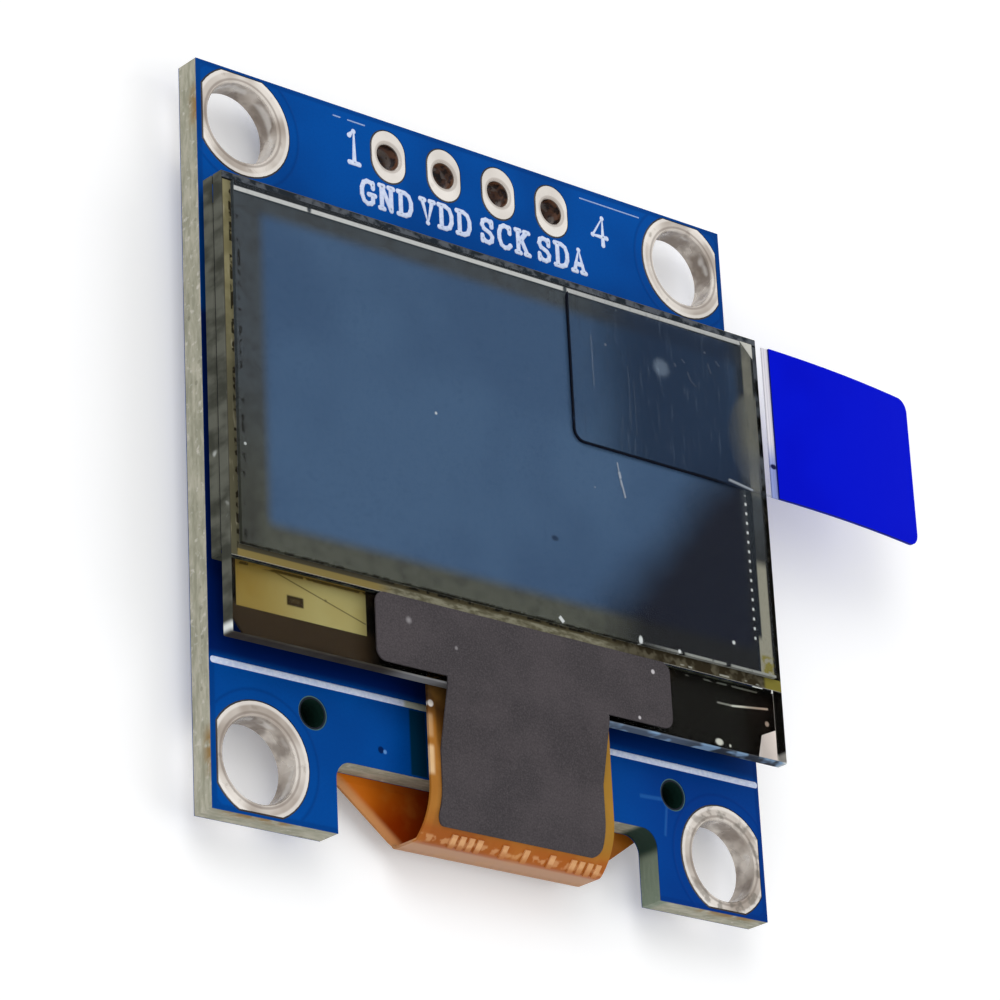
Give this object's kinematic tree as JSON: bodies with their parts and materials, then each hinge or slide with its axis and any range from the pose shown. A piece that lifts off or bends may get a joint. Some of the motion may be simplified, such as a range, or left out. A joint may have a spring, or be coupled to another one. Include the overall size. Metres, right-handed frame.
{
  "type": "small oled display module",
  "caption": "Small flat display module: glass panel taped to a blue circuit board, flex tail folded through a notch, pull tab on its film, header and corner holes.",
  "frame": {"origin": "centre of the four mounting holes, on the board's rear face", "axes": "+X along the header row, towards the side with the pull tab; +Y across the board towards the header row; +Z out of the display's face"},
  "size_m": [0.0328, 0.027, 0.0037],
  "materials": {
    "laminate": "cut glass-epoxy laminate",
    "solder_mask": "smooth semi-gloss lacquer",
    "tinned_land": "tin plating over copper, satin",
    "copper_pad": "gold-toned plating over copper",
    "foam": "black foam tape, matt",
    "panel_glass": "clear sheet glass with ground edges",
    "desiccant": "off-white sheet, matt",
    "seal": "dark cured resin",
    "emitter": "blue-grey layer",
    "cathode": "thin evaporated metal",
    "polariser": "dark smooth film",
    "clear_film": "clear film with fine scratches",
    "clear_tape": "clear adhesive tape",
    "blue_grip": "plain blue plastic film",
    "gold_film": "gold-toned metal film",
    "chip": "bare silicon, polished",
    "coating": "black-brown coating",
    "flex": "golden brown polyimide, smooth",
    "flex_ridge": "traces raised under polyimide",
    "cover_tape": "dark grey matt tape, fine grain",
    "solder": "bright solder",
    "resistor_body": "black coated ceramic",
    "capacitor_body": "tan fired ceramic",
    "chip_end": "tinned end cap",
    "regulator_body": "moulded black plastic"
  },
  "bodies": {
    "root": {"board_laminate": "laminate", "front_solder_mask": "solder_mask", "rear_solder_mask": "solder_mask", "mounting_hole_plating": "tinned_land", "header_hole_plating": "tinned_land", "flex_solder_pads": "copper_pad", "mounting_foam": "foam", "cap_glass": "panel_glass", "desiccant_sheet": "desiccant", "glass_seal": "seal", "front_glass": "panel_glass", "emitter_stack": "emitter", "cathode_layer": "cathode", "polariser": "polariser", "protective_film": "clear_film", "pull_tape": "clear_tape", "pull_grip": "blue_grip", "ledge_metal_film": "gold_film", "driver_chip": "chip", "ledge_coating": "coating", "flex_tail": "flex", "flex_ridges": "flex_ridge", "cover_tape": "cover_tape", "solder_joints": "solder", "part_pads": "tinned_land", "resistor_bodies": "resistor_body", "resistor_ends": "chip_end", "capacitor_bodies": "capacitor_body", "capacitor_ends": "chip_end", "part_solder": "solder", "regulator_body": "regulator_body", "regulator_leads": "solder"}
  },
  "joints": []
}
